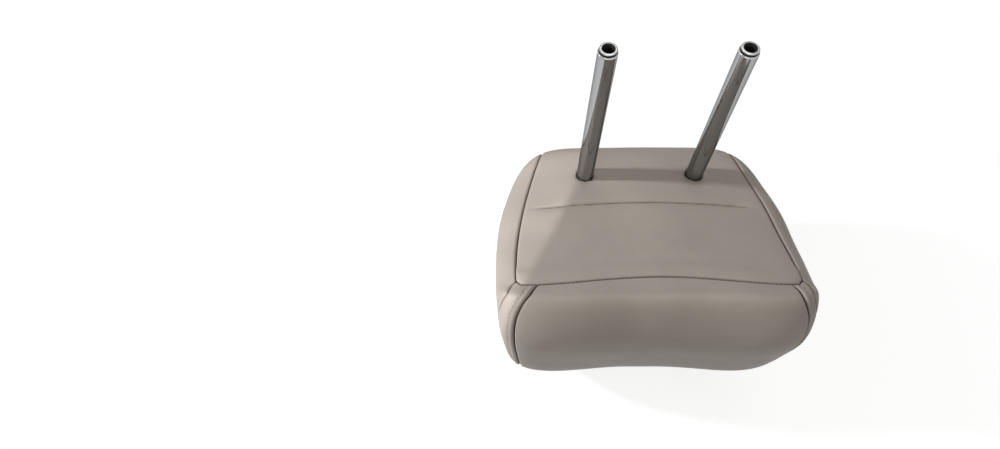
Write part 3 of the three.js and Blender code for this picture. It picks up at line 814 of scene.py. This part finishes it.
def sew(name, points, directions, normals, length, width):
    """A copy of the stitch at every point, joined into one piece."""
    stitch = one_stitch(length, width)
    shape = corners_of(stitch)
    faces = [list(face.vertices) for face in stitch.data.polygons]
    bpy.data.objects.remove(stitch)
    all_points, all_faces = [], []
    for point, forwards, outwards in zip(points, directions, normals):
        sideways = np.cross(outwards, forwards)
        sideways /= np.linalg.norm(sideways)
        turned = shape @ np.array([np.cross(sideways, outwards), sideways, outwards]) + point * MM
        all_faces += [[len(all_points) * len(shape) + i for i in face] for face in faces]
        all_points.append(turned)
    mesh = bpy.data.meshes.new(name)
    mesh.from_pydata(np.concatenate(all_points).tolist(), [], all_faces)
    mesh.polygons.foreach_set("use_smooth", [True] * len(mesh.polygons))
    mesh.update()
    sewn = bpy.data.objects.new(name, mesh)
    bpy.context.scene.collection.objects.link(sewn)
    print(name, len(points), "stitches")
    return sewn


def along_line(station, angle, pitch, sink):
    """Evenly spaced places along a line on the skin, their directions and their normals."""
    fine = on_skin(station, angle)
    way = np.concatenate([[0], np.cumsum(np.linalg.norm(np.diff(fine, axis=0), axis=1))])
    stops = np.arange(pitch, way[-1] - pitch, pitch)
    at_station, at_angle = np.interp(stops, way, station), np.interp(stops, way, angle)
    base, outwards = on_skin(at_station, at_angle), skin_normal(at_station, at_angle)
    place = lambda stop: np.stack([np.interp(stop, way, fine[:, k]) for k in range(3)], -1)
    forwards = place(stops + 0.5) - place(stops - 0.5)
    forwards /= np.linalg.norm(forwards, axis=1)[:, None]
    height = swelling_at(base) + REST + unevenness(base) - sink
    return base + outwards * height[:, None], forwards, outwards

# %% Sew the gussets and the front seam
# The gussets have a stitch of 2.5 mm every 3.6 mm, sunk a little into the leather. In the front
# seam the stitches are shorter and closer together, and lie down in the groove.
stitching = []
for sign, word in ((-1, "left"), (1, "right")):
    station = np.linspace(FRONT + 0.1, COUNT - 0.9, 1500)
    seam = face_edge(station, sign)
    angle = sign * (seam + STITCH_LINE / across_speed(station, seam))
    line = along_line(station, angle, 3.6, 0.22)
    stitching.append(sew("gusset_stitching_" + word, *line, 2.5, 0.6))
station = np.full(1500, float(FRONT))
angle = np.linspace(-0.985, 0.985, 1500) * side_edge(float(FRONT))
line = along_line(station, angle, 3.1, 1.35)
stitching.append(sew("front_seam_stitching", *line, 2.1, 0.55))

# %% [markdown]
# ## The posts
#
# Both posts are the ends of one steel tube, bent into a U and chromed. It is drawn here as a
# metalworker would bend it: one ring, pulled along the post, turned round each bend, and pulled
# up the other post. The inside of the tube is made in the same way with smaller rings, and the
# two are joined at the open ends. Each end is necked in and has a lip that clicks into its sleeve.
# A curve with a bevel would bend as well, but it couldn't have the neck and the lip.

# %% Pull a ring round the U
TUBE_SIDES = 64
# Heights of the tips and of the crossbar, the radius of the bends, half the distance between the
# posts, and how far back they stand, all in millimetres and along the middle of the tube.
TIP, CROSSBAR, BEND, HALF, POST_LINE = 297.0, 74.0, 28.0, 46.0, 63.0


def ring_at(x, y, z, radius):
    """A ring of edges, selected in edit mode and ready to be pulled."""
    deselect()
    place = (x * MM, y * MM, z * MM)
    bpy.ops.mesh.primitive_circle_add(vertices=TUBE_SIDES, radius=radius * MM, location=place)
    ring = bpy.context.object
    bpy.ops.object.transform_apply(location=True)
    bpy.ops.object.mode_set(mode="EDIT")
    bpy.ops.mesh.select_all(action="SELECT")
    return ring


def pull(dx, dy, dz):
    bpy.ops.mesh.extrude_region_move(TRANSFORM_OT_translate={"value": (dx * MM, dy * MM, dz * MM)})


def open_to(factor, centre):
    """Widen or narrow the ring that was just pulled, round its own middle."""
    bpy.ops.transform.resize(value=(factor, factor, 1), center_override=tuple(v * MM for v in centre))


def end_of_post(stops, side, rising):
    """Pull the ring through the stops of one end. Each stop is a drop below the tip and a radius."""
    order = stops[::-1] if rising else stops
    for (drop, radius), (next_drop, next_radius) in zip(order, order[1:]):
        pull(0, 0, drop - next_drop)
        open_to(next_radius / radius, (side * HALF, POST_LINE, TIP - next_drop))


def bent_tube(name, stops):
    """Down the left post, round both bends with the crossbar between them, and up the right post."""
    tube = ring_at(-HALF, POST_LINE, TIP, stops[0][1])
    straight = TIP - stops[-1][0] - (CROSSBAR + BEND)
    end_of_post(stops, -1, False)
    pull(0, 0, -straight)
    for side in (-1, 1):
        centre = (side * (HALF - BEND) * MM, POST_LINE * MM, (CROSSBAR + BEND) * MM)
        bpy.ops.mesh.spin(steps=16, angle=math.pi / 2, center=centre, axis=(0, -1, 0))
        if side < 0:
            pull(2 * (HALF - BEND), 0, 0)
    pull(0, 0, straight)
    end_of_post(stops, 1, True)
    bpy.ops.object.mode_set(mode="OBJECT")
    tube.name = tube.data.name = name
    return tube

# %% The profile of the post ends, and both walls of the tube
# Both walls start at this radius, on the flat ring at the tip.
BORE_EDGE = 4.7


def lip_and_groove():
    """The end of a post from the tip down: a rounded lip, a groove, and a shoulder up to full size."""
    turn = np.linspace(0, math.pi, 13)
    lip = [(0.08 + 0.56 * (1 - math.cos(t)), 5.6 + 0.6 * math.sin(t)) for t in turn]
    neck = [(1.3, 5.3), (1.45, 5.2), (2.5, 5.2), (2.65, 5.35), (2.72, 6.2)]
    shoulder = [(2.72 + 0.7 * math.sin(t), 7.0 - 0.7 * math.cos(t)) for t in np.linspace(0.1, math.pi / 2, 7)]
    return [(0.0, BORE_EDGE), (0.0, 5.4), *lip, *neck, *shoulder, (3.7, 7.0), (4.2, 7.0)]


BORE = [(0.0, BORE_EDGE), (0.12, 4.4), (0.4, 4.2), (12.0, 4.2), (12.6, 4.3), (13.5, 5.0), (14.0, 5.0)]
outside = bent_tube("post_tube_outside", lip_and_groove())
inside = bent_tube("post_tube_inside", BORE)
print("outer wall:", len(outside.data.polygons), "faces, inner wall:", len(inside.data.polygons))

# %% Join the two walls at the open ends
# Chrome reaches neither the inside of a tube nor the bottom of its narrow groove, so these
# keep a finish of their own: bare steel, painted very dark as the shade that falls in the bore and the
# groove.
NECK = (1.2, 2.75)

outside.data.materials.append(bpy.data.materials.new("post_chrome"))
inside.data.materials.append(bpy.data.materials.new("bare_steel_painted_shade"))
outside.data.materials.append(bpy.data.materials["bare_steel_painted_shade"])
# The neck's groove gets the dark steel, whose colour is painted shade.
for face in outside.data.polygons:
    if NECK[0] < TIP - face.center.z / MM < NECK[1]:
        face.material_index = 1
deselect()
inside.select_set(True)
outside.select_set(True)
bpy.context.view_layer.objects.active = outside
bpy.ops.object.join()
posts = bpy.context.object
posts.name = posts.data.name = "chrome_posts"
bpy.ops.object.mode_set(mode="EDIT")
bpy.ops.mesh.select_mode(type="VERT")
bpy.ops.mesh.select_all(action="SELECT")
bpy.ops.mesh.remove_doubles(threshold=4e-6)
bpy.ops.mesh.normals_make_consistent(inside=False)
bpy.ops.object.mode_set(mode="OBJECT")
bpy.ops.object.shade_smooth_by_angle(angle=math.radians(40))
uses = np.zeros(len(posts.data.edges), int)
for loop in posts.data.loops:
    uses[loop.edge_index] += 1
print("posts:", len(posts.data.polygons), "faces,", int((uses != 2).sum()), "open edges")

# %% [markdown]
# ## Finishes
#
# Each finish is a small tree of nodes. An image would need a file and a seam somewhere, so every
# pattern is computed instead. It is read from Object coordinates, which are in metres here, so a
# scale of 1000 makes a pattern about a millimetre wide.

# %% Helpers for node trees
def new_finish(name, **settings):
    """A material, its node tree and its shader. Even values go straight on the shader's sockets."""
    finish = bpy.data.materials.get(name) or bpy.data.materials.new(name)
    finish.use_nodes = True
    shader = finish.node_tree.nodes["Principled BSDF"]
    for socket, value in settings.items():
        shader.inputs[socket.replace("_", " ")].default_value = value
    return finish, finish.node_tree, shader


def add_node(tree, kind, inputs=(), **settings):
    """A node with its settings. An input is either a plain value or another node's output."""
    node = tree.nodes.new(kind)
    for key, value in settings.items():
        setattr(node, key, value)
    for socket, value in dict(inputs).items():
        if hasattr(value, "is_output"):
            tree.links.new(value, node.inputs[socket])
        else:
            node.inputs[socket].default_value = value
    return node


def object_place(tree):
    return add_node(tree, "ShaderNodeTexCoord").outputs["Object"]


def pattern(tree, scale, detail=2.0, roughness=0.5, stretch=None):
    """A cloudy pattern, drawn out along an axis where it is stretched."""
    place = object_place(tree)
    if stretch:
        place = add_node(tree, "ShaderNodeMapping", {"Vector": place, "Scale": stretch}).outputs["Vector"]
    noise = {"Vector": place, "Scale": scale, "Detail": detail, "Roughness": roughness}
    return add_node(tree, "ShaderNodeTexNoise", noise)


def blend_colours(tree, factor, dark, light):
    """From the dark to the light tone, over the middle part of the pattern's range."""
    ramp = add_node(tree, "ShaderNodeValToRGB", {"Fac": factor})
    ramp.color_ramp.elements[0].color = (*dark, 1)
    ramp.color_ramp.elements[1].color = (*light, 1)
    ramp.color_ramp.elements[0].position = 0.35
    ramp.color_ramp.elements[1].position = 0.65
    return ramp.outputs["Color"]

# %% Helpers for colour, relief and shine
def paint(tree, shader, factor, dark, light):
    """Two colours, blended by a pattern, as the colour of the surface."""
    tree.links.new(blend_colours(tree, factor, dark, light), shader.inputs["Base Color"])


def press(tree, shader, height, strength, distance, under=None):
    """Small relief from a pattern. It can lie on relief that is even finer."""
    settings = {"Height": height, "Strength": strength, "Distance": distance}
    if under:
        settings["Normal"] = under
    bump = add_node(tree, "ShaderNodeBump", settings)
    tree.links.new(bump.outputs["Normal"], shader.inputs["Normal"])
    return bump.outputs["Normal"]


def vary_shine(tree, shader, factor, low, high):
    """A roughness that drifts between two values."""
    shine = add_node(tree, "ShaderNodeMapRange", {"Value": factor, "To Min": low, "To Max": high})
    tree.links.new(shine.outputs["Result"], shader.inputs["Roughness"])


def linear(*tone):
    """A colour in screen numbers from 0 to 255, turned into the numbers that a shader wants."""
    return tuple(((v / 255 + 0.055) / 1.055) ** 2.4 if v > 10 else v / 255 / 12.92 for v in tone)


print("middle grey for a shader:", [round(v, 3) for v in linear(128, 128, 128)])

# %% [markdown]
# ## Leather
#
# The hide is a warm light grey with a very fine, pressed grain: small flat cells with creases
# between them, much finer than a millimetre. Its colour drifts a little from place to place, and
# where hands polish the grain it shines slightly more. Down in the seams and the crease, shade is
# painted into the colour. Light alone doesn't darken them enough, so the fold attribute of
# each panel mixes in a dark tone of painted shade there. The thread is a little darker than the leather.

# %% Mix the leather and its thread
def leather_finish():
    finish, tree, shader = new_finish("leather_greige", Roughness=0.5, Specular_IOR_Level=0.28,
                                      Sheen_Weight=0.03, Sheen_Roughness=0.5)
    drift = pattern(tree, 22, 3.0)
    fine = pattern(tree, 900, 2.0)
    tone = blend_colours(tree, drift.outputs["Fac"], linear(165, 156, 148), linear(172, 163, 155))
    fleck = add_node(tree, "ShaderNodeMix", {0: 0.06, 6: tone, 7: fine.outputs["Color"]},
                     data_type="RGBA", blend_type="SOFT_LIGHT")
    fold = add_node(tree, "ShaderNodeAttribute", attribute_name="fold")
    # A dark tone, painted as shade where the fold attribute marks a seam, the crease or a post hole.
    painted_fold_shade = (*linear(66, 58, 52), 1)
    fold_shaded_colour = add_node(tree, "ShaderNodeMix", {0: fold.outputs["Fac"], 6: fleck.outputs[2], 7: painted_fold_shade},
                     data_type="RGBA")
    tree.links.new(fold_shaded_colour.outputs[2], shader.inputs["Base Color"])
    cells = add_node(tree, "ShaderNodeTexVoronoi", {"Vector": object_place(tree), "Scale": 1150.0},
                     feature="DISTANCE_TO_EDGE")
    crease = add_node(tree, "ShaderNodeMapRange", {"Value": cells.outputs["Distance"], "From Max": 0.16})
    grain = press(tree, shader, crease.outputs["Result"], 0.16, 0.00012)
    press(tree, shader, pattern(tree, 160, 3.0).outputs["Fac"], 0.18, 0.0006, grain)
    vary_shine(tree, shader, pattern(tree, 60, 4.0).outputs["Fac"], 0.46, 0.58)
    return finish


def thread_finish():
    finish, tree, shader = new_finish("thread_tone_on_tone", Roughness=0.6, Sheen_Weight=0.3)
    wave = {"Vector": object_place(tree), "Scale": 900.0, "Distortion": 2.0}
    twist = add_node(tree, "ShaderNodeTexWave", wave).outputs["Fac"]
    paint(tree, shader, twist, linear(126, 117, 108), linear(150, 140, 131))
    press(tree, shader, twist, 0.4, 0.0001)
    return finish


leather, thread = leather_finish(), thread_finish()
for finish in (leather, thread):
    print(finish.name, "has", len(finish.node_tree.nodes), "nodes")

# %% [markdown]
# ## Chrome, foam and plastic
#
# Chrome is a mirror with hardly any colour. Its look comes from what stands round it, so its
# nodes only add the faint haze and rub marks of posts that slide in and out of their sleeves.
# A picture of a room would make its reflections livelier, but it would be one more file to keep.
# Inside the tube and in the neck the steel is bare and dull, and its colour is darkened as painted
# shade. The pieces inside the cushion are never seen when it is whole, but they get plain finishes too,
# because the frame carries them.

# %% Mix the other finishes
def chrome_finish():
    finish, tree, shader = new_finish("post_chrome", Metallic=1.0, Roughness=0.1,
                                      Specular_Tint=(0.45, 0.45, 0.46, 1))
    rub = pattern(tree, 40, 4.0, 0.6, (1, 1, 0.15)).outputs["Fac"]
    paint(tree, shader, rub, linear(160, 161, 162), linear(170, 171, 172))
    haze = pattern(tree, 260, 5.0, 0.6, (1, 1, 0.08)).outputs["Fac"]
    vary_shine(tree, shader, haze, 0.05, 0.12)
    return finish


def cloudy_finish(name, pattern_scale, pattern_detail, dark, light, **settings):
    """A plain finish whose colour drifts between two tones."""
    finish, tree, shader = new_finish(name, **settings)
    clouds = pattern(tree, pattern_scale, pattern_detail).outputs["Fac"]
    paint(tree, shader, clouds, dark, light)
    return finish, tree, shader, clouds


def foam_finish():
    finish, tree, shader, _ = cloudy_finish("cream_foam", 300, 4.0, linear(203, 192, 152),
                                            linear(224, 214, 178), Roughness=0.95)
    pores = {"Vector": object_place(tree), "Scale": 700.0}
    cells = add_node(tree, "ShaderNodeTexVoronoi", pores)
    press(tree, shader, cells.outputs["Distance"], 0.6, 0.0005)
    return finish


def plastic_finish(name, dark, light, roughness):
    finish, tree, shader, speckle = cloudy_finish(name, 1400, 3.0, dark, light, Roughness=roughness)
    press(tree, shader, speckle, 0.15, 0.0001)
    return finish


chrome, foam = chrome_finish(), foam_finish()
# Very dark bare steel: its colour is painted shade for the inside of the bore and the groove of the neck.
bore = cloudy_finish("bare_steel_painted_shade", 300, 4.0, linear(34, 31, 28), linear(52, 48, 44),
                     Metallic=0.6, Roughness=0.7)[0]
zinc = cloudy_finish("zinc_plated_steel", 500, 3.0, linear(150, 152, 156), linear(184, 186, 190),
                     Metallic=1.0, Roughness=0.3)[0]
black_plastic = plastic_finish("moulded_black_plastic", linear(30, 30, 33), linear(44, 44, 48), 0.55)
white_plastic = plastic_finish("extruded_white_plastic", linear(204, 204, 200), linear(222, 222, 218),
                               0.45)
mixed = (leather, thread, chrome, bore, foam, zinc, black_plastic, white_plastic)
print("finishes:", [finish.name for finish in mixed])

# %% [markdown]
# ## Dressing the frame
#
# The posts and the leather take the place of CAD solids, so each of them hides the nodes it
# stands for, and the stitching just goes along with them. The leather is fuller and softer
# than the solids below it. The pieces inside keep their CAD
# meshes, which are already right for them, and only get a finish.

# %% Give every piece its finish, and hide the solids it stands for
def dress(obj, finish, replaced=()):
    """The finish of a piece, the body it rides on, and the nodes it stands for."""
    if finish:
        obj.data.materials.clear()
        obj.data.materials.append(finish)
    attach(obj, "root")
    if replaced:
        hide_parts(*replaced)


dress(leather_face, leather, ["cover_face"])
dress(leather_underside, leather, ["cover_underside", "cover_back"])
for piece, word in zip(gussets, ("left", "right")):
    dress(piece, leather, ["cover_gusset_" + word])
for piece, word in zip(sides, ("left", "right")):
    dress(piece, leather, ["cover_side_" + word])
for piece in stitching:
    dress(piece, thread)
dress(posts, None, ["post_tube"])

CARRIED = {"foam_body": foam, "core_half": black_plastic, "post_collar": black_plastic,
           "core_screw": zinc, "closure_strip": white_plastic}
for name, node in frame["nodes"].items():
    for start, finish in CARRIED.items():
        if name.startswith(start):
            node.data.materials.clear()
            node.data.materials.append(finish)

# %% [markdown]
# ## The ground
#
# The headrest stands on a plain pale floor, which has to be white behind it and still keep its
# shadow. More light would bleach the headrest too. So the floor is painted grey, and only where
# the camera or a reflection sees it, a glow is added that brings it up to white. Farther out it
# fades into plain white, where no shadow falls, and the world is seen as white as well.

# %% Lay the floor
deselect()
bpy.ops.mesh.primitive_plane_add(size=8, location=(0, 0, 0))
floor = bpy.context.object
floor.name = "floor"
floor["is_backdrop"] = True


print("floor:", [round(v, 1) for v in floor.dimensions[:2]], "m")

# %% Paint the floor
def seen_directly(tree):
    """1 for what the camera, a reflection or glass sees, and 0 for the light that falls on things."""
    path = add_node(tree, "ShaderNodeLightPath").outputs
    seen = path["Is Camera Ray"]
    for ray in ("Is Glossy Ray", "Is Transmission Ray"):
        either = {0: seen, 1: path[ray]}
        seen = add_node(tree, "ShaderNodeMath", either, operation="MAXIMUM").outputs[0]
    return seen


def blend_shaders(tree, factor, first, second):
    """The first surface where the factor is 0, and the second where it is 1."""
    parts = {0: factor, 1: first.outputs[0], 2: second.outputs[0]}
    return add_node(tree, "ShaderNodeMixShader", parts)


def pale_ground():
    finish = bpy.data.materials.new("pale_floor")
    finish.use_nodes = True
    tree = finish.node_tree
    tree.nodes.clear()
    grey = add_node(tree, "ShaderNodeBsdfDiffuse", {"Color": (0.3, 0.3, 0.3, 1)})
    glow = add_node(tree, "ShaderNodeEmission", {"Color": (1, 1, 1, 1), "Strength": 0.84})
    near = add_node(tree, "ShaderNodeAddShader", {0: grey.outputs[0], 1: glow.outputs[0]})
    white = add_node(tree, "ShaderNodeEmission", {"Color": (1, 1, 1, 1), "Strength": 1.0})
    away = add_node(tree, "ShaderNodeVectorMath", {0: object_place(tree)}, operation="LENGTH")
    reach = {"Value": away.outputs["Value"], "From Min": 0.16, "From Max": 0.55}
    fade = add_node(tree, "ShaderNodeMapRange", reach, interpolation_type="SMOOTHSTEP")
    both = blend_shaders(tree, fade.outputs[0], near, white)
    mix = blend_shaders(tree, seen_directly(tree), grey, both)
    out = add_node(tree, "ShaderNodeOutputMaterial")
    tree.links.new(mix.outputs[0], out.inputs["Surface"])
    return finish


floor.data.materials.append(pale_ground())
print("the floor is painted with", floor.data.materials[0].name)

# %% Light the world
world = bpy.data.worlds.new("studio")
bpy.context.scene.world = world
world.use_nodes = True
tree = world.node_tree
tree.nodes.clear()
dim = add_node(tree, "ShaderNodeBackground", {"Color": (0.94, 0.97, 1.0, 1), "Strength": 0.07})
white = add_node(tree, "ShaderNodeBackground", {"Color": (1, 1, 1, 1), "Strength": 1.0})
mix = blend_shaders(tree, seen_directly(tree), dim, white)
out = add_node(tree, "ShaderNodeOutputWorld")
tree.links.new(mix.outputs[0], out.inputs["Surface"])
print("the world lights things at a strength of", round(dim.inputs["Strength"].default_value, 2))

# %% [markdown]
# ## The lamps
#
# Two edges of light on the underside say how it is lit. The posts throw a band of shadow to the
# right, so the main lamp stands on the left and is small enough for a clear edge. And a bright
# strip on the left ends in a straight, slanting edge, which is the edge of a beam. A large lamp
# can't have such an edge, so a spot lamp with a very small source is aimed there. Three large
# dim lamps, in front, above and behind, keep the shadows soft and open.

# %% Hang the lamps
def aim_lamp(data, name, place, target):
    """Hang a lamp at a place. It shines along its own -Z, which is turned towards the target."""
    obj = bpy.data.objects.new(name, data)
    bpy.context.scene.collection.objects.link(obj)
    obj.location = place
    obj.rotation_euler = (Vector(target) - Vector(place)).to_track_quat("-Z", "Y").to_euler()
    return obj


def soft_lamp(name, place, target, size, power, colour):
    data = bpy.data.lights.new(name, "AREA")
    data.size = size
    data.energy = power
    data.color = colour
    return aim_lamp(data, name, place, target)


soft_lamp("key_left", (-1.5, 0.12, 0.95), (0, 0.05, 0.15), 0.09, 19.5, (0.95, 0.98, 1.0))
soft_lamp("soft_front", (-0.7, -1.4, 0.8), (0, 0, 0.1), 0.7, 6, (1.0, 0.95, 0.9))
soft_lamp("fill_above", (0.3, -0.2, 1.9), (0, 0, 0.1), 1.4, 8, (1.0, 0.96, 0.88))
soft_lamp("soft_back", (0.1, 0.9, 1.7), (0, 0, 0.1), 1.0, 4, (1.0, 0.96, 0.95))
print("lamps:", [lamp.name for lamp in bpy.data.lights])

# %% Aim a spot lamp so that the edge of its beam crosses the underside
# The edge runs from the foot of the left post towards the face, a little to the left.
BEAM_FOOT = Vector((-0.046, 0.063, 0.15))
BEAM_LINE = Vector((-0.413, -0.911, 0)).normalized()
CONE = math.radians(80)


def spot_lamp(name, place, target, cone, power, colour):
    """A spot lamp with a hard-edged beam. Its source is only a few millimetres wide."""
    data = bpy.data.lights.new(name, "SPOT")
    data.spot_size = cone
    data.spot_blend = 0.01
    data.shadow_soft_size = 0.004
    data.energy = power
    data.color = colour
    return aim_lamp(data, name, place, target)


spot_place = BEAM_FOOT + BEAM_LINE * 1.3 + Vector((0, 0, 0.9))
to_foot = (BEAM_FOOT - spot_place).normalized()
across_beam = to_foot.cross(Vector((0, 0, 1))).normalized()
axis = to_foot * math.cos(CONE / 2) - across_beam * math.sin(CONE / 2)
spot_lamp("beam_left", spot_place, spot_place + axis, CONE, 78, (1.0, 0.97, 0.97))
print("the spot lamp hangs", round((spot_place - BEAM_FOOT).length, 2), "m from the left post")

# %% [markdown]
# ## Measuring the size
#
# The dressed headrest shouldn't outgrow its solids, so both boxes are measured and printed. The view
# transform is Standard, with which a colour shows about as it was mixed.

# %% Measure sizes and finish
bpy.context.scene.view_settings.view_transform = "Standard"
seen_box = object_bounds()
for word, box in (("CAD", cad_box), ("visual", seen_box)):
    print(word, "box in mm:", [round(v * 1000, 1) for v in (*box[0], *box[1])])
